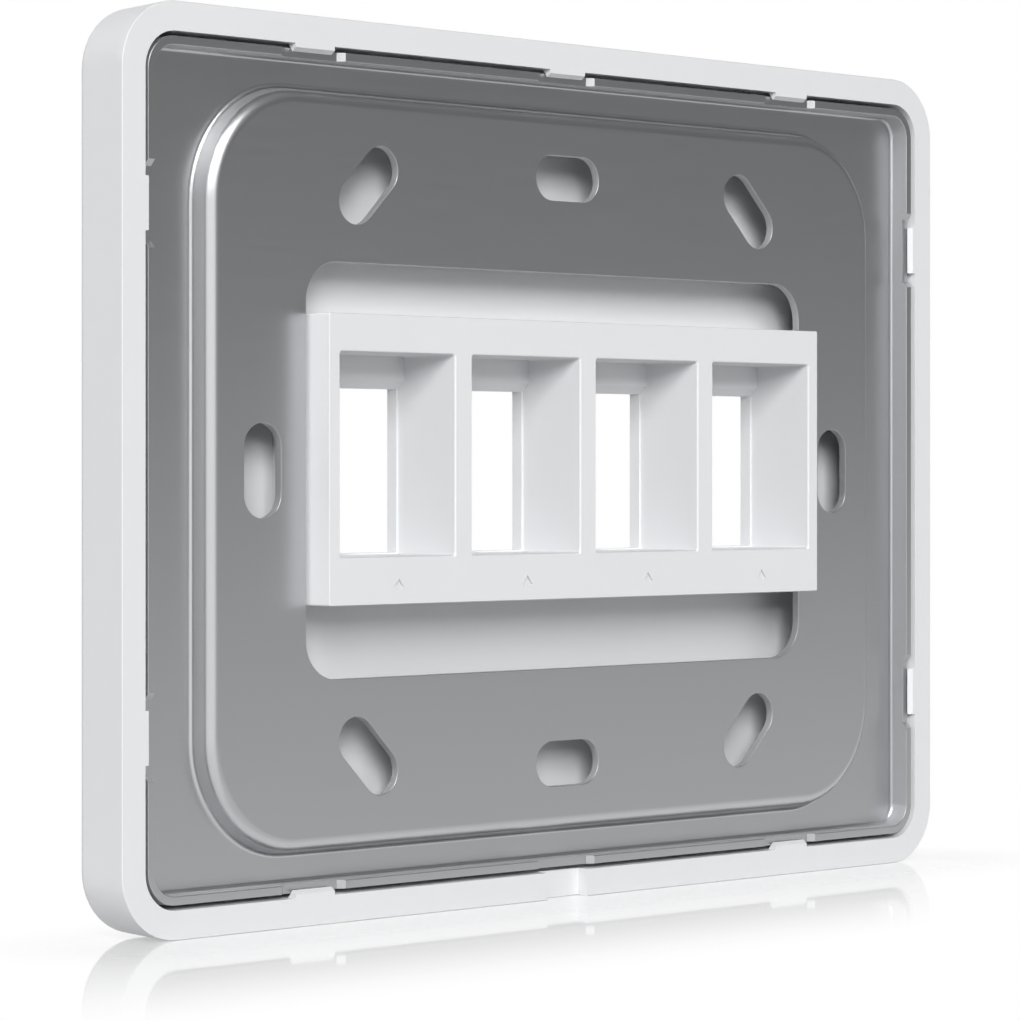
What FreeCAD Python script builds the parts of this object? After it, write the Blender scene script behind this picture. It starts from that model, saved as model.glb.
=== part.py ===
import FreeCAD, Part
import math
import os

# Keystone faceplate, in millimetres.
# X runs across the plate, Z runs up, and Y runs from the front face back towards the wall.
# The origin is the middle of the wall plane, where the rear edge of the cover's rim lies.
# A moulded front cover with four keystone ports snaps onto a pressed steel mounting plate,
# and the plate is what the screws hold to the wall box.

# Front cover, a plastic moulding
cover_width = 118.1
cover_height = 88.0
cover_depth = 6.9
cover_corner = 6.5
cover_draft = 2.5
front_wall = 1.6
rim_width = 2.8
rim_draft = 0.5
front_edge_round = 1.0
rim_edge_break = 0.1

# Keystone ports, side by side in one block behind the front wall
port_count = 4
port_web = 2.5
port_corner = 0.2
port_mouth_break = 0.24
aperture_width = 14.9
aperture_height = 16.4
aperture_corner = 0.15
aperture_edge_break = 0.25
port_side_step = 0.2
port_floor_step = 0.15
ledge_rise = 3.25
ledge_slope_rise = 0.85
ledge_thickness = 0.9

# Block around the ports, which stands out behind the rim
block_behind_rim = 3.0
block_side_wall = 1.53
block_head = 3.75
block_sill = 4.7
block_corner = 0.2
block_edge_break = 0.1

# Snap catches on the rim's inner wall
catch_length = 5.1
catch_lip = 0.4
catch_reach = 0.77
catch_tip_depth = 0.49
catch_root_depth = 1.1
catch_offset_long_side = 35.0
catch_offset_short_side = 24.9

# Notch in the lower rim, where a screwdriver lifts the cover off
pry_notch_width = 6.0
pry_notch_depth = 1.5

# Ribs inside the cover that the mounting plate's border rests on
rib_thickness = 1.0
rib_reach = 4.0
rib_offset_long_side = 17.5
rib_offset_short_side = 12.5

# Mounting plate, a steel pressing
sheet = 0.85
flange_setback = 0.17
flange_edge_break = 0.08
bend_inside_break = 0.4
border_depth = 2.4
border_at_sides = 7.0
border_at_top = 3.65
panel_corner = 10.9
step_angle = 15.0
step_top_round = 1.3
panel_hollow_break = 0.2

# Window in the panel that the port block passes through
window_height = 40.6
window_corner = 3.9

# Screw slots in the panel
slot_width = 4.65
slot_length = 9.15
slot_pitch_across = 83.5
slot_pitch_up = 60.1
slot_diagonal_offset = 27.95
punched_edge_break = 0.06

# Notches in the flange that the catches grip
notch_length = 8.3
notch_ramp = 0.65

# Clearances between the two pieces
rim_to_flange = 0.46
block_to_window = 0.3
catch_to_notch = 0.05
rib_to_border = 0.05

# Depths and sizes that follow from those above
wall_plane = 0.0
cover_front = wall_plane - cover_depth
front_wall_inside = cover_front + front_wall
block_rear = wall_plane + block_behind_rim
rim_inner_width = cover_width - 2 * rim_width
rim_inner_height = cover_height - 2 * rim_width
rim_inner_corner = cover_corner - rim_width

aperture_top = aperture_height / 2
port_bottom = -aperture_height / 2 - port_floor_step
port_top = aperture_top + ledge_rise
port_width = aperture_width + 2 * port_side_step
port_pitch = port_width + port_web
ledge_lip = aperture_top + ledge_slope_rise
ledge_depth = front_wall_inside + ledge_thickness
block_width = port_count * port_pitch - port_web + 2 * block_side_wall
block_height = port_top - port_bottom + block_head + block_sill
block_middle = (port_top + block_head + port_bottom - block_sill) / 2

flange_width = rim_inner_width - 2 * rim_to_flange
flange_height = rim_inner_height - 2 * rim_to_flange
flange_corner = rim_inner_corner - rim_to_flange
flange_end = wall_plane - flange_setback
border_rear = wall_plane - border_depth
border_front = border_rear - sheet
bend_outside_round = bend_inside_break + sheet
foot_width = flange_width - 2 * border_at_sides
foot_height = flange_height - 2 * border_at_top
window_width = block_width + 2 * block_to_window

catch_underside_rise = (catch_root_depth - catch_tip_depth) * (catch_reach - rim_to_flange) / catch_reach
notch_floor = wall_plane - catch_tip_depth - catch_underside_rise - catch_to_notch
rib_top = border_front - rib_to_border

# How far a cutting shape runs past the face that it opens
past = 1.0
tolerance = 0.001

# Angle about Y that turns the left wall's place, +X, to each of the four walls
WALL_TURN = {"left": 0.0, "top": -90.0, "right": 180.0, "bottom": 90.0}
CATCH_PLACES = {
    "left": (-catch_offset_short_side, catch_offset_short_side),
    "right": (-catch_offset_short_side, catch_offset_short_side),
    "top": (-catch_offset_long_side, 0.0, catch_offset_long_side),
    "bottom": (-catch_offset_long_side, catch_offset_long_side),
}
NOTCH_PLACES = dict(CATCH_PLACES, bottom=CATCH_PLACES["top"])
RIB_PLACES = {
    "left": (-rib_offset_short_side, rib_offset_short_side),
    "right": (-rib_offset_short_side, rib_offset_short_side),
    "top": (-rib_offset_long_side, rib_offset_long_side),
    "bottom": (-rib_offset_long_side, rib_offset_long_side),
}


def vector(x, y, z):
    return FreeCAD.Vector(x, y, z)


def rounded_outline(width, height, corner, depth, middle_x=0.0, middle_z=0.0):
    """A rectangle with round corners, upright at one depth."""
    half_width = width / 2
    half_height = height / 2
    inset = corner * (1 - math.sqrt(0.5))
    edges = []
    previous = None
    first = None
    for side_x, side_z in ((1, 1), (-1, 1), (-1, -1), (1, -1)):
        beside = vector(side_x * half_width, depth, side_z * (half_height - corner))
        bend = vector(side_x * (half_width - inset), depth, side_z * (half_height - inset))
        across = vector(side_x * (half_width - corner), depth, side_z * half_height)
        start, end = (beside, across) if side_x == side_z else (across, beside)
        if previous is None:
            first = start
        else:
            edges.append(Part.makeLine(previous, start))
        edges.append(Part.Arc(start, bend, end).toShape())
        previous = end
    edges.append(Part.makeLine(previous, first))
    outline = Part.Wire(edges)
    outline.translate(vector(middle_x, 0, middle_z))
    return outline


def straight_block(width, height, corner, front, rear, middle_x=0.0, middle_z=0.0):
    """A block with round corners and straight sides, between two depths."""
    outline = rounded_outline(width, height, corner, front, middle_x, middle_z)
    return Part.Face(outline).extrude(vector(0, rear - front, 0))


def tapered_block(width, height, corner, front, rear, spread_at_front):
    """A block whose sides lean. Its size is the one at the rear."""
    front_outline = rounded_outline(
        width + 2 * spread_at_front, height + 2 * spread_at_front, corner + spread_at_front, front)
    rear_outline = rounded_outline(width, height, corner, rear)
    return Part.makeLoft([front_outline, rear_outline], True, True)


def lean(depth, angle):
    """How far a side that leans by an angle moves over a depth."""
    return depth * math.tan(math.radians(angle))


def obround_outline(length, width, depth):
    """A slot's outline, long across the plate, with half-round ends."""
    straight = (length - width) / 2
    radius = width / 2
    edges = []
    for side in (1, -1):
        start = vector(side * straight, depth, -side * radius)
        tip = vector(side * (straight + radius), depth, 0)
        end = vector(side * straight, depth, side * radius)
        edges.append(Part.Arc(start, tip, end).toShape())
        edges.append(Part.makeLine(end, vector(-side * straight, depth, side * radius)))
    return Part.Wire(edges)


def hole_cutter(outline, far_side, face, edge_break):
    """Cuts a hole up to a face, and breaks the hole's edge there. The outline takes a growth and a depth."""
    outward = math.copysign(1, face - far_side)
    neck = face - outward * edge_break
    straight = Part.Face(outline(0, far_side)).extrude(vector(0, neck - far_side, 0))
    mouth = Part.makeLoft([outline(0, neck), outline(edge_break + past, face + outward * past)], True, True)
    return straight.fuse(mouth)


def profile_bar(points, length):
    """A bar along Z, centred, from a closed profile of X and Y points."""
    corners = [vector(x, y, -length / 2) for x, y in points]
    outline = Part.makePolygon(corners + corners[:1])
    return Part.Face(outline).extrude(vector(0, 0, length))


def edges_at(shape, depth):
    """The edges of a shape that lie wholly at one depth."""
    found = []
    for edge in shape.Edges:
        box = edge.BoundBox
        if box.YMin > depth - tolerance and box.YMax < depth + tolerance:
            found.append(edge)
    return found


def edges_within(shape, depth, width, height):
    """The edges at one depth that lie inside a rectangle about the middle."""
    found = []
    for edge in edges_at(shape, depth):
        box = edge.BoundBox
        inside_x = max(-box.XMin, box.XMax) < width / 2 + tolerance
        inside_z = max(-box.ZMin, box.ZMax) < height / 2 + tolerance
        if inside_x and inside_z:
            found.append(edge)
    return found


def edges_along_depth(shape):
    """The straight edges of a shape that run from front to rear."""
    found = []
    for edge in shape.Edges:
        box = edge.BoundBox
        if box.YLength > tolerance and box.XLength < tolerance and box.ZLength < tolerance:
            found.append(edge)
    return found


def on_wall(shape, wall, along, wall_width, wall_height):
    """Place a shape that was made with X pointing out of the left wall, on one of the four walls."""
    placed = shape.copy()
    upright = wall in ("left", "right")
    reach = (wall_width if upright else wall_height) / 2
    side = 1 if wall in ("left", "top") else -1
    placed.rotate(vector(0, 0, 0), vector(0, 1, 0), WALL_TURN[wall])
    if upright:
        placed.translate(vector(side * reach, 0, along))
    else:
        placed.translate(vector(along, 0, side * reach))
    return placed


def along_walls(shape, places, wall_width, wall_height):
    """Copies of one shape at every place on every wall."""
    return [
        on_wall(shape, wall, along, wall_width, wall_height)
        for wall in places
        for along in places[wall]
    ]


def port_middles():
    """The X of each port's middle, evenly pitched about the plate's middle."""
    return [(number - (port_count - 1) / 2) * port_pitch for number in range(port_count)]


def cover_shell():
    """The drafted outer form, hollowed out from behind."""
    shell = tapered_block(
        cover_width, cover_height, cover_corner, cover_front, wall_plane,
        -lean(cover_depth, cover_draft))
    shell = shell.makeFillet(front_edge_round, edges_at(shell, cover_front))
    shell = shell.makeChamfer(rim_edge_break, edges_at(shell, wall_plane))
    cavity_depth = wall_plane - front_wall_inside
    cavity = tapered_block(
        rim_inner_width, rim_inner_height, rim_inner_corner, front_wall_inside, wall_plane,
        -lean(cavity_depth, rim_draft))
    return shell.cut(cavity)


def port_cavity(middle_x):
    """The room behind one aperture, with the sloped ledge at its top that a jack's latch grips."""
    profile = [
        (block_rear + past, port_bottom),
        (front_wall_inside, port_bottom),
        (front_wall_inside, aperture_top),
        (ledge_depth, ledge_lip),
        (ledge_depth, port_top),
        (block_rear + past, port_top),
    ]
    corners = [vector(middle_x - port_width / 2, y, z) for y, z in profile]
    outline = Part.makePolygon(corners + corners[:1])
    cavity = Part.Face(outline).extrude(vector(port_width, 0, 0))
    return cavity.makeFillet(port_corner, edges_along_depth(cavity))


def port_block():
    """The block with its ports. The ports' mouths are broken more than the block's own edges."""
    root = front_wall_inside - front_wall / 2
    block = straight_block(
        block_width, block_height, block_corner, root, block_rear, 0.0, block_middle)
    block = block.makeChamfer(block_edge_break, edges_at(block, block_rear))
    for middle_x in port_middles():
        block = block.cut(port_cavity(middle_x))
    mouths = edges_within(block, block_rear, port_count * port_pitch - port_web, 2 * port_top)
    return block.makeChamfer(port_mouth_break, mouths)


def aperture(middle_x):
    """The opening through the front wall that a jack's face fills."""
    def outline(growth, depth):
        return rounded_outline(
            aperture_width + 2 * growth, aperture_height + 2 * growth, aperture_corner + growth,
            depth, middle_x)
    return hole_cutter(outline, front_wall_inside, cover_front, aperture_edge_break)


def catch_bar():
    """A wedge that the flange rides over and then locks behind."""
    profile = [
        (rim_width / 2, wall_plane),
        (-catch_lip, wall_plane),
        (-catch_reach, wall_plane - catch_tip_depth),
        (0.0, wall_plane - catch_root_depth),
        (rim_width / 2, wall_plane - catch_root_depth),
    ]
    return profile_bar(profile, catch_length)


def rib_bar():
    """A rib across the corner of rim and front wall."""
    root = front_wall_inside - front_wall / 2
    profile = [
        (rim_width / 2, root),
        (rim_width / 2, rib_top),
        (-rib_reach, rib_top),
        (-rib_reach, root),
    ]
    return profile_bar(profile, rib_thickness)


def front_cover():
    """The moulding: shell, port block, catches, ribs, apertures and pry notch."""
    cover = cover_shell()
    additions = [port_block()]
    additions += along_walls(catch_bar(), CATCH_PLACES, rim_inner_width, rim_inner_height)
    additions += along_walls(rib_bar(), RIB_PLACES, rim_inner_width, rim_inner_height)
    cover = cover.fuse(additions)
    cover = cover.cut([aperture(middle_x) for middle_x in port_middles()])
    pry_notch = Part.makeBox(
        pry_notch_width, pry_notch_depth + past, rim_width + 2 * past,
        vector(-pry_notch_width / 2, wall_plane - pry_notch_depth, -cover_height / 2 - past))
    return cover.cut(pry_notch).removeSplitter()


def pressed_tray():
    """The sheet's border and its flange, bent up all round."""
    tray = straight_block(flange_width, flange_height, flange_corner, border_front, flange_end)
    tray = tray.makeFillet(bend_outside_round, edges_at(tray, border_front))
    inside = straight_block(
        flange_width - 2 * sheet, flange_height - 2 * sheet, flange_corner - sheet,
        border_rear, flange_end + past)
    inside = inside.makeChamfer(bend_inside_break, edges_at(inside, border_rear))
    tray = tray.cut(inside)
    return tray.makeChamfer(flange_edge_break, edges_at(tray, flange_end))


def raised_panel(plate):
    """Press the panel up out of the tray's floor, the same sheet thickness all the way."""
    spread = lean(border_depth, step_angle)
    panel_width = foot_width - 2 * spread
    panel_height = foot_height - 2 * spread
    panel = tapered_block(panel_width, panel_height, panel_corner, border_rear, wall_plane, spread)
    panel = panel.makeFillet(step_top_round, edges_at(panel, wall_plane))
    plate = plate.fuse(panel)
    foot = edges_within(plate, border_rear, foot_width, foot_height)
    plate = plate.makeChamfer(bend_inside_break, foot)
    inset = sheet / math.cos(math.radians(step_angle)) - lean(sheet, step_angle)
    hollow = tapered_block(
        panel_width - 2 * inset, panel_height - 2 * inset, panel_corner - inset,
        border_front, wall_plane - sheet, spread)
    hollow = hollow.makeChamfer(panel_hollow_break, edges_at(hollow, wall_plane - sheet))
    plate = plate.cut(hollow)
    mouth = edges_within(plate, border_front, foot_width, foot_height)
    return plate.makeFillet(bend_outside_round, mouth)


def slot(middle_x, middle_z, turn):
    """One screw slot, turned and moved to its place."""
    def outline(growth, depth):
        return obround_outline(slot_length + 2 * growth, slot_width + 2 * growth, depth)
    cutter = hole_cutter(outline, border_front, wall_plane, punched_edge_break)
    cutter.rotate(vector(0, 0, 0), vector(0, 1, 0), turn)
    cutter.translate(vector(middle_x, 0, middle_z))
    return cutter


def window():
    """The hole in the panel that the port block passes through."""
    def outline(growth, depth):
        return rounded_outline(
            window_width + 2 * growth, window_height + 2 * growth, window_corner + growth, depth)
    return hole_cutter(outline, border_front, wall_plane, punched_edge_break)


def screw_slots():
    """Eight slots, each lying along a circle about the plate's middle."""
    cutters = []
    for side in (-1, 1):
        cutters.append(slot(side * slot_pitch_across / 2, 0.0, 90.0))
        cutters.append(slot(0.0, side * slot_pitch_up / 2, 0.0))
        for other_side in (-1, 1):
            turn = 45.0 * side * other_side
            cutters.append(slot(side * slot_diagonal_offset, other_side * slot_diagonal_offset, turn))
    return cutters


def notch_bar():
    """A shallow notch across the flange's end, with a ramp at each end."""
    floor_half = notch_length / 2 - notch_ramp
    outline = [
        (floor_half, notch_floor),
        (notch_length / 2, flange_end),
        (notch_length / 2, flange_end + past),
        (-notch_length / 2, flange_end + past),
        (-notch_length / 2, flange_end),
        (-floor_half, notch_floor),
    ]
    corners = [vector(past, depth, along) for along, depth in outline]
    face = Part.Face(Part.makePolygon(corners + corners[:1]))
    return face.extrude(vector(-sheet - 2 * past, 0, 0))


def mounting_plate():
    """The pressing: tray, raised panel, window, slots and flange notches."""
    plate = raised_panel(pressed_tray())
    plate = plate.cut([window()] + screw_slots())
    plate = plate.cut(along_walls(notch_bar(), NOTCH_PLACES, flange_width, flange_height))
    return plate.removeSplitter()


os.makedirs("parts", exist_ok=True)
for name, shape in (("front_cover", front_cover()), ("mounting_plate", mounting_plate())):
    solid = shape.Solids[0]
    print(name, "solids", len(shape.Solids), "valid", shape.isValid(), "volume", round(shape.Volume, 2))
    solid.exportStep(os.path.join("parts", name + ".step"))
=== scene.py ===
import math

import bmesh
import bpy
from bpy.props import FloatProperty, FloatVectorProperty, IntProperty, PointerProperty
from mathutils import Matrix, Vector


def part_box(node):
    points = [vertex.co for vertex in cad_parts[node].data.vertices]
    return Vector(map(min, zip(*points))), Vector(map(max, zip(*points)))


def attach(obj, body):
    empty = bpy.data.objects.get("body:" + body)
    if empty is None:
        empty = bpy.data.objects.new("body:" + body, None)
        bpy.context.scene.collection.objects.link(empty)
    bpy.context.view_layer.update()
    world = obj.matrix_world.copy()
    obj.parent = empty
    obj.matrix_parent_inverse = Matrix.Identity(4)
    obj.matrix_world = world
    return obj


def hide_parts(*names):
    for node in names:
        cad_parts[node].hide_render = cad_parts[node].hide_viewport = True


bl_info = {
    "name": "Keystone Faceplate",
    "version": (1, 0, 0),
    "blender": (4, 5, 0),
    "location": "3D View > Sidebar > Faceplate",
    "description": "Dresses a keystone faceplate: moulded cover, pressed steel plate and studio",
    "category": "Object",
}

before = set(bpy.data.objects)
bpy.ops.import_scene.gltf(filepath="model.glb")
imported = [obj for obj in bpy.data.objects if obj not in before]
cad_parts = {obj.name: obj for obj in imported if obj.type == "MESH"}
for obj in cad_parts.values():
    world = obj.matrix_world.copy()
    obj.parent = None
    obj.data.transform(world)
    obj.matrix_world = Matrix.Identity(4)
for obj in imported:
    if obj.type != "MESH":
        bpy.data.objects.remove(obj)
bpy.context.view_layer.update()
COVER_LOW, COVER_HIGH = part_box("front_cover")
_, PLATE_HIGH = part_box("mounting_plate")
FOOT = COVER_LOW.z

MM = 0.001

# Closer than any real corner of the two pieces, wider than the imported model's rounding
MERGE_DISTANCE = 0.002 * MM
SLIVER_WIDTH = 0.0005 * MM
# Edge breaks bend twice by 45 degrees at most and are shaded as rounds; a real corner bends by more
ROUND_ANGLE = math.radians(50.0)
# Where a piece has real corners of 45 degrees, an edge is one of them from this bend up
CRISP_ANGLE = math.radians(30.0)
# Triangles that bend by less than this are one flat face
FLAT_ANGLE = math.radians(0.3)
# Below this area, in square metres, a face is only a facet of a round corner
SMALL_FACE = 1.0 * MM * MM
# The ledges over the apertures lie between these depths, and their bends are real corners
LEDGE_DEPTHS = (-6.0 * MM, -3.0 * MM)
# The ends of the flange's notches lie this near the plate's outline
FLANGE_REACH = 1.0 * MM

# The studio, in metres. A curved card is made of flat strips
FLOOR_REACH = 4.0
LAMP_DISTANCE = 4.0
FILL_WIDTH = 3.0
FILL_HEIGHT = 2.5
CARD_DISTANCE = 1.5
CARD_TOP = 1.4
CARD_STRIPS = 16


def linear(hex_colour):
    """An sRGB hex colour as the linear values that Blender works in."""
    parts = [int(hex_colour[start:start + 2], 16) / 255 for start in (1, 3, 5)]
    return [part / 12.92 if part <= 0.04045 else ((part + 0.055) / 1.055) ** 2.4 for part in parts]


def add_node(tree, kind, inputs=None, **settings):
    """Adds one node, makes its settings, and sets or links its inputs by name or number."""
    node = tree.nodes.new(kind)
    for name, value in settings.items():
        setattr(node, name, value)
    for name, value in (inputs or {}).items():
        socket = node.inputs[name]
        if isinstance(value, bpy.types.NodeSocket):
            tree.links.new(value, socket)
        else:
            socket.default_value = value
    return node


def new_material(name):
    """An empty node material."""
    material = bpy.data.materials.new(name)
    material.use_nodes = True
    material.node_tree.nodes.clear()
    return material


class CoverSettings(bpy.types.PropertyGroup):
    """Sizes and finish of the moulded cover."""

    colour: FloatVectorProperty(
        name="Colour", description="Colour of the moulded plastic",
        subtype="COLOR", size=3, min=0, max=1, default=linear("#E9EAEC"))
    roughness: FloatProperty(
        name="Roughness", description="Roughness of the moulded surface",
        subtype="FACTOR", min=0, max=1, default=0.42)
    ports: IntProperty(
        name="Ports", description="Number of keystone ports in the row", min=1, default=4)
    port_pitch: FloatProperty(
        name="Port Pitch", description="Distance from one port's middle to the next",
        unit="LENGTH", min=0, default=17.8 * MM)
    mark_width: FloatProperty(
        name="Mark Width", description="Width of the arrow mark under each port",
        unit="LENGTH", min=0, default=1.15 * MM)
    mark_height: FloatProperty(
        name="Mark Height", description="Height of the arrow mark under each port",
        unit="LENGTH", min=0, default=0.88 * MM)
    mark_stroke: FloatProperty(
        name="Mark Stroke", description="Width of the groove that draws the arrow mark",
        unit="LENGTH", min=0, default=0.36 * MM)
    mark_depth: FloatProperty(
        name="Mark Depth", description="How deep the arrow mark is cut",
        unit="LENGTH", min=0, default=0.3 * MM)
    mark_level: FloatProperty(
        name="Mark Level", description="Height of the arrow marks above the plate's middle",
        unit="LENGTH", default=-11.56 * MM)


class PlateSettings(bpy.types.PropertyGroup):
    """Finish of the pressed mounting plate."""

    colour: FloatVectorProperty(
        name="Colour", description="Colour of the bare steel",
        subtype="COLOR", size=3, min=0, max=1, default=linear("#C1C2C4"))
    roughness: FloatProperty(
        name="Roughness", description="Roughness of the rolled surface",
        subtype="FACTOR", min=0, max=1, default=0.32)
    wall_roughness: FloatProperty(
        name="Wall Roughness", description="Roughness of the drawn walls and the sheared edges",
        subtype="FACTOR", min=0, max=1, default=0.75)


class StageSettings(bpy.types.PropertyGroup):
    """Camera, floor and light. A lamp of level 1 lights a white face in front of it as white."""

    camera_place: FloatVectorProperty(
        name="Camera Place", description="Where the camera stands",
        subtype="TRANSLATION", size=3, default=(0.29174, 0.28405, -0.0003))
    camera_aim: FloatVectorProperty(
        name="Camera Aim", description="Direction that the camera looks in",
        subtype="DIRECTION", size=3, default=(-0.7062, -0.7080, 0.0))
    lens: FloatProperty(
        name="Lens", description="Focal length on a 36 mm frame, in millimetres",
        min=1, default=139.55)
    camera_shift: FloatProperty(
        name="Camera Shift", description="How far the lens is shifted up, as a share of the frame",
        default=-0.0355)
    floor_colour: FloatVectorProperty(
        name="Floor Colour", description="Colour of the floor and the studio behind it",
        subtype="COLOR", size=3, min=0, max=1, default=linear("#C8C8C8"))
    floor_lift: FloatProperty(
        name="Floor Lift",
        description="Light added to the floor so that it shows as white outside the shadows",
        min=0, default=0.48)
    key_level: FloatProperty(
        name="Key Level", description="Level of the key lamp, a soft box high up beside the camera",
        min=0, default=0.9)
    back_fill: FloatProperty(
        name="Back Fill", description="Level of the soft light straight behind the plate",
        min=0, default=0.09)
    side_fill: FloatProperty(
        name="Side Fill", description="Level of the soft light beside the plate",
        min=0, default=0.13)
    front_fill: FloatProperty(
        name="Front Fill",
        description="Level of the soft light on the front face, away from the camera",
        min=0, default=0.32)
    top_glint: FloatProperty(
        name="Top Glint",
        description="Level of the soft box above the camera that only glossy surfaces show",
        min=0, default=0.62)
    glint_level: FloatProperty(
        name="Glint Level",
        description="Brightness of the high white card that the bare steel mirrors",
        min=0, default=2.8)
    sky_level: FloatProperty(
        name="Sky Level", description="Brightness of the light that comes from all round",
        min=0, default=0.18)


def moulded_plastic(settings):
    """White ABS from a fine-eroded mould: even and pale, with a soft broad sheen and no sparkle."""
    # Eroded mould grain is about 0.05 mm; it is drawn at 0.3 mm, because finer would not show
    grain_size = 0.3 * MM
    grain_change = 0.05
    # Slow change of thickness and flow under the surface
    flow_size = 15 * MM
    deeper = [channel * 0.975 for channel in settings.colour]
    material = new_material("Moulded White ABS")
    tree = material.node_tree
    place = add_node(tree, "ShaderNodeTexCoord")
    grain = add_node(tree, "ShaderNodeTexNoise", {
        "Vector": place.outputs["Object"], "Scale": 1 / grain_size,
        "Detail": 2.0, "Roughness": 0.6})
    flow = add_node(tree, "ShaderNodeTexNoise", {
        "Vector": place.outputs["Object"], "Scale": 1 / flow_size, "Detail": 1.0})
    # A mix node's sockets 6 and 7 are its two colours, and its third output is the mixed colour
    colour = add_node(tree, "ShaderNodeMix", {
        "Factor": flow.outputs[0], 6: (*settings.colour, 1.0), 7: (*deeper, 1.0)}, data_type="RGBA")
    roughness = add_node(tree, "ShaderNodeMapRange", {
        "Value": grain.outputs[0],
        "To Min": settings.roughness - grain_change, "To Max": settings.roughness + grain_change})
    bump = add_node(tree, "ShaderNodeBump", {
        "Height": grain.outputs[0], "Strength": 0.12, "Distance": 0.02 * MM})
    surface = add_node(tree, "ShaderNodeBsdfPrincipled", {
        "Base Color": colour.outputs[2], "Roughness": roughness.outputs[0],
        "Normal": bump.outputs[0], "IOR": 1.54})
    add_node(tree, "ShaderNodeOutputMaterial", {"Surface": surface.outputs[0]})
    return material


def rolled_steel(settings):
    """Zinc-plated steel: satin with faint rolling streaks, and duller where a tool rubbed it."""
    # Rolling lines run across the plate
    line_length = 12 * MM
    line_spacing = 0.2 * MM
    line_depth = 0.5 * MM
    line_change = 0.04
    # How far a surface turns to the sheet's face: a wall across it is 0 and the face itself is 1
    dull_turn = 0.12
    bright_turn = 0.44
    material = new_material("Rolled Sheet Steel")
    tree = material.node_tree
    place = add_node(tree, "ShaderNodeTexCoord")
    stretched = add_node(tree, "ShaderNodeMapping", {
        "Vector": place.outputs["Object"],
        "Scale": (1 / line_length, 1 / line_depth, 1 / line_spacing)})
    lines = add_node(tree, "ShaderNodeTexNoise", {
        "Vector": stretched.outputs[0], "Scale": 1.0, "Detail": 2.0, "Roughness": 0.5})
    facing = add_node(tree, "ShaderNodeSeparateXYZ", {0: place.outputs["Normal"]})
    turn = add_node(tree, "ShaderNodeMath", {0: facing.outputs["Y"]}, operation="ABSOLUTE")
    # The die and the punch have scuffed the walls dull
    rubbed = add_node(tree, "ShaderNodeMapRange", {
        "Value": turn.outputs[0], "From Min": dull_turn, "From Max": bright_turn,
        "To Min": settings.wall_roughness, "To Max": settings.roughness})
    streaks = add_node(tree, "ShaderNodeMapRange", {
        "Value": lines.outputs[0], "To Min": -line_change, "To Max": line_change})
    roughness = add_node(tree, "ShaderNodeMath", {0: rubbed.outputs[0], 1: streaks.outputs[0]})
    bump = add_node(tree, "ShaderNodeBump", {
        "Height": lines.outputs[0], "Strength": 0.05, "Distance": 0.01 * MM})
    surface = add_node(tree, "ShaderNodeBsdfPrincipled", {
        "Base Color": (*settings.colour, 1.0), "Metallic": 1.0,
        "Roughness": roughness.outputs[0], "Normal": bump.outputs[0]})
    add_node(tree, "ShaderNodeOutputMaterial", {"Surface": surface.outputs[0]})
    return material


def merged_copy(node_name, piece_name):
    """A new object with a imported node's shape, its loose triangles joined into closed skins."""
    shape = bmesh.new()
    shape.from_mesh(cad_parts[node_name].data)
    bmesh.ops.remove_doubles(shape, verts=shape.verts, dist=MERGE_DISTANCE)
    bmesh.ops.dissolve_degenerate(shape, edges=shape.edges, dist=SLIVER_WIDTH)
    mesh = bpy.data.meshes.new(piece_name)
    shape.verts.index_update()
    mesh.from_pydata(
        [vert.co for vert in shape.verts], [],
        [[vert.index for vert in face.verts] for face in shape.faces])
    shape.free()
    piece = bpy.data.objects.new(piece_name, mesh)
    bpy.context.scene.collection.objects.link(piece)
    return piece


def flat_regions(shape):
    """The area, normal and first triangle of the flat face that each triangle belongs to."""
    regions = {}
    for seed in shape.faces:
        if seed in regions:
            continue
        members = [seed]
        regions[seed] = None
        for face in members:
            for edge in face.edges:
                for beside in edge.link_faces:
                    if beside not in regions and beside.normal.angle(seed.normal, 1.0) < FLAT_ANGLE:
                        regions[beside] = None
                        members.append(beside)
        area = sum(face.calc_area() for face in members)
        facing = sum((face.normal * face.calc_area() for face in members), Vector()).normalized()
        region = (area, facing.freeze(), seed.index)
        for face in members:
            regions[face] = region
    return regions


def smooth_fan(corner):
    """The faces round a corner's point that are reached without crossing a crisp edge."""
    point = corner.vert
    fan = [corner.face]
    for face in fan:
        for edge in face.edges:
            if edge.smooth and point in edge.verts:
                fan += [beside for beside in edge.link_faces if beside not in fan]
    return fan


def shade(piece, stays_crisp):
    """Keeps flat faces flat, rounds the edge breaks between them and leaves real corners crisp."""
    shape = bmesh.new()
    shape.from_mesh(piece.data)
    shape.faces.ensure_lookup_table()
    for face in shape.faces:
        face.smooth = True
    for edge in shape.edges:
        angle = edge.calc_face_angle(0.0) if len(edge.link_faces) == 2 else math.pi
        edge.smooth = not (angle > ROUND_ANGLE or (angle > CRISP_ANGLE and stays_crisp(edge)))
    regions = flat_regions(shape)
    normals = []
    for face in shape.faces:
        for corner in face.loops:
            near = {regions[beside] for beside in smooth_fan(corner)}
            largest = max(area for area, _, _ in near)
            # Beside a large face the small ones hardly count, so that it stays flat to its edge
            power = 4 if largest > SMALL_FACE else 1
            normals.append(sum(
                (facing * (area / largest) ** power for area, facing, _ in near),
                Vector()).normalized())
    shape.to_mesh(piece.data)
    shape.free()
    piece.data.normals_split_custom_set(normals)


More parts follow.
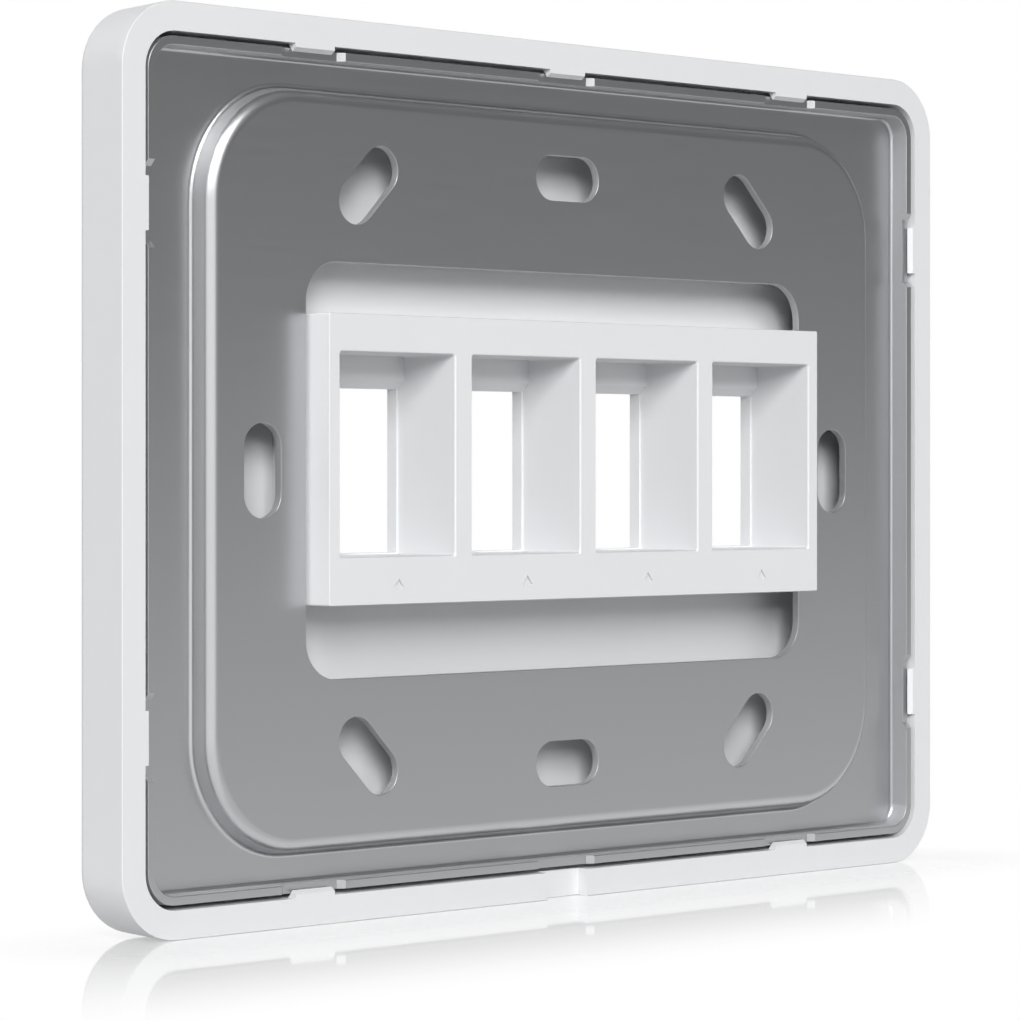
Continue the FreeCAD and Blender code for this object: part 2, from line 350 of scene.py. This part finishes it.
def port_marks_tree(material):
    """Cuts an arrow mark under each port, with the marks in one evenly pitched row."""
    tree = bpy.data.node_groups.new("Port Marks", "GeometryNodeTree")
    for name, kind in (
            ("Geometry", "NodeSocketGeometry"), ("Ports", "NodeSocketInt"),
            ("Pitch", "NodeSocketFloat"), ("Mark Width", "NodeSocketFloat"),
            ("Mark Height", "NodeSocketFloat"), ("Stroke", "NodeSocketFloat"),
            ("Level", "NodeSocketFloat"), ("Middle", "NodeSocketFloat")):
        tree.interface.new_socket(name, in_out="INPUT", socket_type=kind)
    tree.interface.new_socket("Geometry", in_out="OUTPUT", socket_type="NodeSocketGeometry")
    given = add_node(tree, "NodeGroupInput")

    # The arrow is a line through three points, with the middle one raised
    half_width = add_node(tree, "ShaderNodeMath", {
        0: given.outputs["Mark Width"], 1: 0.5}, operation="MULTIPLY")
    left_end = add_node(tree, "ShaderNodeMath", {
        0: half_width.outputs[0], 1: -1.0}, operation="MULTIPLY")
    half_step = add_node(tree, "ShaderNodeCombineXYZ", {"X": half_width.outputs[0]})
    mark_start = add_node(tree, "ShaderNodeCombineXYZ", {"X": left_end.outputs[0]})
    corners = add_node(tree, "GeometryNodeMeshLine", {
        "Count": 3, "Start Location": mark_start.outputs[0], "Offset": half_step.outputs[0]})
    number = add_node(tree, "GeometryNodeInputIndex")
    # A compare node's sockets 2 and 3 are its two whole numbers
    middle = add_node(tree, "FunctionNodeCompare", {
        2: number.outputs[0], 3: 1}, data_type="INT", operation="EQUAL")
    rise = add_node(tree, "ShaderNodeCombineXYZ", {"Z": given.outputs["Mark Height"]})
    arrow = add_node(tree, "GeometryNodeSetPosition", {
        "Geometry": corners.outputs[0], "Selection": middle.outputs[0], "Offset": rise.outputs[0]})
    line = add_node(tree, "GeometryNodeMeshToCurve", {"Mesh": arrow.outputs[0]})
    section = add_node(tree, "GeometryNodeCurvePrimitiveQuadrilateral", {
        "Width": given.outputs["Stroke"], "Height": given.outputs["Stroke"]})
    groove = add_node(tree, "GeometryNodeCurveToMesh", {
        "Curve": line.outputs[0], "Profile Curve": section.outputs[0], "Fill Caps": True})

    # One arrow stands at each port, in a row about the plate's middle
    last = add_node(tree, "ShaderNodeMath", {
        0: given.outputs["Ports"], 1: 1.0}, operation="SUBTRACT")
    reach = add_node(tree, "ShaderNodeMath", {
        0: last.outputs[0], 1: given.outputs["Pitch"]}, operation="MULTIPLY")
    row_start = add_node(tree, "ShaderNodeMath", {
        0: reach.outputs[0], 1: -0.5}, operation="MULTIPLY")
    start = add_node(tree, "ShaderNodeCombineXYZ", {
        "X": row_start.outputs[0], "Y": given.outputs["Middle"], "Z": given.outputs["Level"]})
    step = add_node(tree, "ShaderNodeCombineXYZ", {"X": given.outputs["Pitch"]})
    row = add_node(tree, "GeometryNodeMeshLine", {
        "Count": given.outputs["Ports"],
        "Start Location": start.outputs[0], "Offset": step.outputs[0]})
    marks = add_node(tree, "GeometryNodeInstanceOnPoints", {
        "Points": row.outputs[0], "Instance": groove.outputs[0]})
    cutters = add_node(tree, "GeometryNodeRealizeInstances", {"Geometry": marks.outputs[0]})
    cut = add_node(tree, "GeometryNodeMeshBoolean", {
        "Mesh 1": given.outputs["Geometry"], "Mesh 2": cutters.outputs[0]},
        operation="DIFFERENCE", solver="EXACT")
    real = add_node(tree, "GeometryNodeRealizeInstances", {"Geometry": cut.outputs["Mesh"]})
    finish = add_node(tree, "GeometryNodeSetMaterial", {
        "Geometry": real.outputs[0], "Material": material})
    add_node(tree, "NodeGroupOutput", {"Geometry": finish.outputs[0]})
    return tree


def grow(piece, tree, sizes):
    """Runs a Geometry Nodes tree on a piece and keeps the result as its plain mesh."""
    modifier = piece.modifiers.new(tree.name, "NODES")
    modifier.node_group = tree
    for socket in tree.interface.items_tree:
        if socket.item_type == "SOCKET" and socket.in_out == "INPUT" and socket.name in sizes:
            modifier[socket.identifier] = sizes[socket.name]
    depsgraph = bpy.context.evaluated_depsgraph_get()
    mesh = bpy.data.meshes.new_from_object(piece.evaluated_get(depsgraph))
    piece.modifiers.remove(modifier)
    old = piece.data
    piece.data = mesh
    bpy.data.meshes.remove(old)
    if not mesh.polygons:
        raise RuntimeError(f"{tree.name} left {piece.name} empty")


def on_port_ledge(edge):
    """Whether an edge lies at the depth of the ports' ledges."""
    depth = (edge.verts[0].co.y + edge.verts[1].co.y) / 2
    return LEDGE_DEPTHS[0] < depth < LEDGE_DEPTHS[1]


def across_flange(edge):
    """Whether an edge runs across the thickness of the flange, as the bends of a notch do."""
    first, second = edge.verts[0].co, edge.verts[1].co
    middle = (first + second) / 2
    line = (second - first).normalized()
    if abs(line.y) > 0.5:
        return False
    if abs(middle.x) > PLATE_HIGH.x - FLANGE_REACH:
        return abs(line.x) > 0.9
    return abs(middle.z) > PLATE_HIGH.z - FLANGE_REACH and abs(line.z) > 0.9


class FACEPLATE_OT_cover(bpy.types.Operator):
    """Make the moulded cover, with an arrow mark cut under each port"""

    bl_idname = "faceplate.cover"
    bl_label = "Moulded Cover"

    def execute(self, context):
        settings = context.scene.faceplate_cover
        material = moulded_plastic(settings)
        piece = merged_copy("front_cover", "cover_moulding")
        grow(piece, port_marks_tree(material), {
            "Ports": settings.ports,
            "Pitch": settings.port_pitch,
            "Mark Width": settings.mark_width,
            "Mark Height": settings.mark_height,
            "Stroke": settings.mark_stroke,
            "Level": settings.mark_level,
            "Middle": COVER_HIGH.y - settings.mark_depth + settings.mark_stroke / 2,
        })
        shade(piece, on_port_ledge)
        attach(piece, "root")
        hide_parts("front_cover")
        return {"FINISHED"}


class FACEPLATE_OT_plate(bpy.types.Operator):
    """Make the pressed steel mounting plate"""

    bl_idname = "faceplate.plate"
    bl_label = "Pressed Plate"

    def execute(self, context):
        piece = merged_copy("mounting_plate", "plate_pressing")
        piece.data.materials.append(rolled_steel(context.scene.faceplate_plate))
        shade(piece, across_flange)
        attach(piece, "root")
        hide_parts("mounting_plate")
        return {"FINISHED"}


def showing(tree):
    """A socket that is 1 for a ray that shows the studio: straight, mirrored or through glass."""
    rays = add_node(tree, "ShaderNodeLightPath")
    seen = add_node(tree, "ShaderNodeMath", {
        0: rays.outputs["Is Camera Ray"], 1: rays.outputs["Is Glossy Ray"]}, operation="MAXIMUM")
    shown = add_node(tree, "ShaderNodeMath", {
        0: seen.outputs[0], 1: rays.outputs["Is Transmission Ray"]}, operation="MAXIMUM")
    return shown.outputs[0]


def floor_material(settings):
    """Smooth white acrylic: it carries the shadow, mirrors the foot a little and fades to white."""
    # Shadows show within this distance of the foot, and the floor is plain white beyond
    shadow_reach = 18 * MM
    white_share_at_foot = 0.3
    # The mirror image is clear at the foot, and fades out in front of it, behind it and beside it
    mirror_share = 0.42
    mirror_near, mirror_gone = 5 * MM, 45 * MM
    mirror_beside, mirror_gone_beside = 55 * MM, 95 * MM
    material = new_material("White Acrylic Floor")
    tree = material.node_tree

    place = add_node(tree, "ShaderNodeTexCoord")
    parts = add_node(tree, "ShaderNodeSeparateXYZ", {0: place.outputs["Object"]})
    across = add_node(tree, "ShaderNodeMath", {0: parts.outputs["X"]}, operation="ABSOLUTE")
    past_end = add_node(tree, "ShaderNodeMath", {
        0: across.outputs[0], 1: COVER_HIGH.x}, operation="SUBTRACT")
    beside = add_node(tree, "ShaderNodeMath", {
        0: past_end.outputs[0], 1: 0.0}, operation="MAXIMUM")
    ahead = add_node(tree, "ShaderNodeMath", {0: parts.outputs["Y"]}, operation="ABSOLUTE")
    from_foot = add_node(tree, "ShaderNodeCombineXYZ", {
        "X": beside.outputs[0], "Y": ahead.outputs[0]})
    distance = add_node(tree, "ShaderNodeVectorMath", {0: from_foot.outputs[0]}, operation="LENGTH")

    shown = showing(tree)
    matt = add_node(tree, "ShaderNodeBsdfDiffuse", {"Color": (*settings.floor_colour, 1.0)})
    lift = add_node(tree, "ShaderNodeMath", {
        0: shown, 1: settings.floor_lift}, operation="MULTIPLY")
    glow = add_node(tree, "ShaderNodeEmission", {"Strength": lift.outputs[0]})
    lit = add_node(tree, "ShaderNodeAddShader", {0: matt.outputs[0], 1: glow.outputs[0]})
    white = add_node(tree, "ShaderNodeEmission", {"Strength": 1.0})
    far = add_node(tree, "ShaderNodeMapRange", {
        "Value": distance.outputs["Value"], "From Min": 0.0, "From Max": shadow_reach,
        "To Min": white_share_at_foot, "To Max": 1.0}, interpolation_type="SMOOTHSTEP")
    whiten = add_node(tree, "ShaderNodeMath", {0: shown, 1: far.outputs[0]}, operation="MULTIPLY")
    base = add_node(tree, "ShaderNodeMixShader", {
        0: whiten.outputs[0], 1: lit.outputs[0], 2: white.outputs[0]})

    mirror = add_node(tree, "ShaderNodeBsdfGlossy", {
        "Color": (1.0, 1.0, 1.0, 1.0), "Roughness": 0.05})
    fades_ahead = add_node(tree, "ShaderNodeMapRange", {
        "Value": ahead.outputs[0], "From Min": mirror_near, "From Max": mirror_gone,
        "To Min": mirror_share, "To Max": 0.0}, interpolation_type="SMOOTHSTEP")
    fades_beside = add_node(tree, "ShaderNodeMapRange", {
        "Value": beside.outputs[0], "From Min": mirror_beside, "From Max": mirror_gone_beside,
        "To Min": 1.0, "To Max": 0.0}, interpolation_type="SMOOTHSTEP")
    near_foot = add_node(tree, "ShaderNodeMath", {
        0: fades_ahead.outputs[0], 1: fades_beside.outputs[0]}, operation="MULTIPLY")
    # Only the camera sees the mirror image, which would otherwise throw glare up at the part
    rays = add_node(tree, "ShaderNodeLightPath")
    mirrored = add_node(tree, "ShaderNodeMath", {
        0: near_foot.outputs[0], 1: rays.outputs["Is Camera Ray"]}, operation="MULTIPLY")
    surface = add_node(tree, "ShaderNodeMixShader", {
        0: mirrored.outputs[0], 1: base.outputs[0], 2: mirror.outputs[0]})
    add_node(tree, "ShaderNodeOutputMaterial", {"Surface": surface.outputs[0]})
    return material


def even_glow(name, level):
    """Matt card, lit evenly on its front: a plain pale or dark tone for bare steel to mirror."""
    material = new_material(name)
    tree = material.node_tree
    glow = add_node(tree, "ShaderNodeEmission", {"Color": (1.0, 1.0, 1.0, 1.0), "Strength": level})
    clear = add_node(tree, "ShaderNodeBsdfTransparent")
    side = add_node(tree, "ShaderNodeNewGeometry")
    surface = add_node(tree, "ShaderNodeMixShader", {
        0: side.outputs["Backfacing"], 1: glow.outputs[0], 2: clear.outputs[0]})
    add_node(tree, "ShaderNodeOutputMaterial", {"Surface": surface.outputs[0]})
    return material


def stage_piece(name, corners, faces, material):
    """A piece of the studio from its corners and faces."""
    mesh = bpy.data.meshes.new(name)
    mesh.from_pydata(corners, [], faces)
    mesh.materials.append(material)
    piece = bpy.data.objects.new(name, mesh)
    bpy.context.scene.collection.objects.link(piece)
    return piece


def mirrored_card(name, corners, faces, level):
    """A card that shows only where something glossy mirrors it."""
    card = stage_piece(name, corners, faces, even_glow(name, level))
    card.visible_camera = False
    card.visible_diffuse = False
    card.visible_shadow = False


def flat_card(name, low, high, height, level, faces_up):
    """A level card between two corners, with its front up or down."""
    corners = [
        (low[0], low[1], height), (high[0], low[1], height),
        (high[0], high[1], height), (low[0], high[1], height)]
    mirrored_card(name, corners, [(0, 1, 2, 3) if faces_up else (3, 2, 1, 0)], level)


def round_card(name, radius, from_angle, to_angle, low, high, level):
    """A curved card about the part, with its front inward. Its angles turn from +X to +Y."""
    corners = []
    for strip in range(CARD_STRIPS + 1):
        angle = math.radians(from_angle + (to_angle - from_angle) * strip / CARD_STRIPS)
        for height in (low, high):
            corners.append((radius * math.cos(angle), radius * math.sin(angle), height))
    faces = [(first, first + 1, first + 3, first + 2) for first in range(0, 2 * CARD_STRIPS, 2)]
    mirrored_card(name, corners, faces, level)


def soft_lamp(name, turn, rise, distance, width, height, level):
    """A soft box aimed at the part, turned from +X to +Y and raised by angles in degrees."""
    lamp = bpy.data.lights.new(name, "AREA")
    lamp.shape = "RECTANGLE"
    lamp.size = width
    lamp.size_y = height
    # At level 1 a white face in front of the lamp is lit as white, whatever the distance
    lamp.energy = level * (math.pi * distance) ** 2
    piece = bpy.data.objects.new(name, lamp)
    bpy.context.scene.collection.objects.link(piece)
    turn, rise = math.radians(turn), math.radians(rise)
    toward = Vector((
        math.cos(rise) * math.cos(turn), math.cos(rise) * math.sin(turn), math.sin(rise)))
    piece.location = distance * toward
    piece.rotation_euler = (-toward).to_track_quat("-Z", "Y").to_euler()
    return piece


def camera(settings):
    """The camera at the photograph's place. It looks level, with the lens shifted."""
    lens = bpy.data.cameras.new("Camera")
    lens.lens = settings.lens
    lens.sensor_width = 36.0
    lens.shift_y = settings.camera_shift
    lens.clip_start = 0.01
    piece = bpy.data.objects.new("Camera", lens)
    bpy.context.scene.collection.objects.link(piece)
    piece.location = settings.camera_place
    piece.rotation_euler = Vector(settings.camera_aim).to_track_quat("-Z", "Y").to_euler()
    bpy.context.scene.camera = piece


def cards(settings):
    """The cards that the bare steel mirrors, which give it its dark and pale tones."""
    for name, from_angle, to_angle, level in (
            ("dark_side_card", 88.0, 152.0, 0.18),
            ("dim_side_card", 152.0, 215.0, 0.2),
            ("grey_side_card", -60.0, 5.0, 0.6),
            ("pale_side_card", 5.0, 88.0, 1.15)):
        round_card(name, CARD_DISTANCE, from_angle, to_angle, FOOT, CARD_TOP, level)
    round_card(
        "glint_card", radius=1.45, from_angle=-10.0, to_angle=82.0, low=0.42, high=1.3,
        level=settings.glint_level)
    flat_card(
        "ceiling_card", low=(-CARD_DISTANCE, -CARD_DISTANCE), high=(CARD_DISTANCE, CARD_DISTANCE),
        height=CARD_TOP, level=0.26, faces_up=False)
    # The floor on the dark side gets less light than the white acrylic in front of the camera
    flat_card(
        "dim_floor_card", low=(-CARD_DISTANCE, 0.01), high=(0.05, CARD_DISTANCE),
        height=FOOT + 0.5 * MM, level=0.76, faces_up=True)


def lamps(settings):
    """A key beside the camera, soft fills all round, and a glint for the corners of the steel."""
    for name, turn, rise, width, height, level in (
            ("Key Lamp", 51.0, 22.0, 1.4, 1.8, settings.key_level),
            ("Back Fill", 96.0, 10.0, FILL_WIDTH, FILL_HEIGHT, settings.back_fill),
            ("Side Fill", -8.0, 10.0, FILL_WIDTH, FILL_HEIGHT, settings.side_fill),
            ("Front Fill", 242.0, 12.0, FILL_WIDTH, FILL_HEIGHT, settings.front_fill)):
        lamp = soft_lamp(name, turn, rise, LAMP_DISTANCE, width, height, level)
        # The bare steel mirrors the cards instead
        lamp.visible_glossy = False
    glint = soft_lamp(
        "Top Glint", turn=48.0, rise=46.0, distance=1.3, width=1.2, height=0.7,
        level=settings.top_glint)
    glint.visible_diffuse = False


def studio_world(settings):
    """White all round where the studio itself shows, and a low even light on the part."""
    world = bpy.data.worlds.new("Studio")
    world.use_nodes = True
    bpy.context.scene.world = world
    tree = world.node_tree
    tree.nodes.clear()
    level = add_node(tree, "ShaderNodeMapRange", {
        "Value": showing(tree), "To Min": settings.sky_level, "To Max": 1.0})
    sky = add_node(tree, "ShaderNodeBackground", {
        "Color": (1.0, 1.0, 1.0, 1.0), "Strength": level.outputs[0]})
    add_node(tree, "ShaderNodeOutputWorld", {"Surface": sky.outputs[0]})


class FACEPLATE_OT_stage(bpy.types.Operator):
    """Make the camera, the white floor and the soft studio light"""

    bl_idname = "faceplate.stage"
    bl_label = "Studio"

    def execute(self, context):
        settings = context.scene.faceplate_stage
        context.scene.view_settings.view_transform = "Standard"
        camera(settings)
        stage_piece("floor", [
            (-FLOOR_REACH, -FLOOR_REACH, FOOT), (FLOOR_REACH, -FLOOR_REACH, FOOT),
            (FLOOR_REACH, FLOOR_REACH, FOOT), (-FLOOR_REACH, FLOOR_REACH, FOOT),
        ], [(0, 1, 2, 3)], floor_material(settings))
        cards(settings)
        lamps(settings)
        studio_world(settings)
        return {"FINISHED"}


class FACEPLATE_PT_panel(bpy.types.Panel):
    """Lists the faceplate's pieces and their settings"""

    bl_label = "Keystone Faceplate"
    bl_idname = "FACEPLATE_PT_panel"
    bl_space_type = "VIEW_3D"
    bl_region_type = "UI"
    bl_category = "Faceplate"

    def draw(self, context):
        layout = self.layout
        scene = context.scene
        for operator, settings in (
                (FACEPLATE_OT_cover, scene.faceplate_cover),
                (FACEPLATE_OT_plate, scene.faceplate_plate),
                (FACEPLATE_OT_stage, scene.faceplate_stage)):
            box = layout.box()
            box.operator(operator.bl_idname)
            for name in settings.__annotations__:
                box.prop(settings, name)


CLASSES = (
    CoverSettings, PlateSettings, StageSettings,
    FACEPLATE_OT_cover, FACEPLATE_OT_plate, FACEPLATE_OT_stage,
    FACEPLATE_PT_panel,
)


def register():
    for item in CLASSES:
        bpy.utils.register_class(item)
    bpy.types.Scene.faceplate_cover = PointerProperty(type=CoverSettings)
    bpy.types.Scene.faceplate_plate = PointerProperty(type=PlateSettings)
    bpy.types.Scene.faceplate_stage = PointerProperty(type=StageSettings)


def unregister():
    del bpy.types.Scene.faceplate_stage
    del bpy.types.Scene.faceplate_plate
    del bpy.types.Scene.faceplate_cover
    for item in reversed(CLASSES):
        bpy.utils.unregister_class(item)


def main():
    register()
    bpy.ops.faceplate.cover()
    bpy.ops.faceplate.plate()
    bpy.ops.faceplate.stage()
    bpy.context.view_layer.update()


if __name__ == "__main__":
    main()
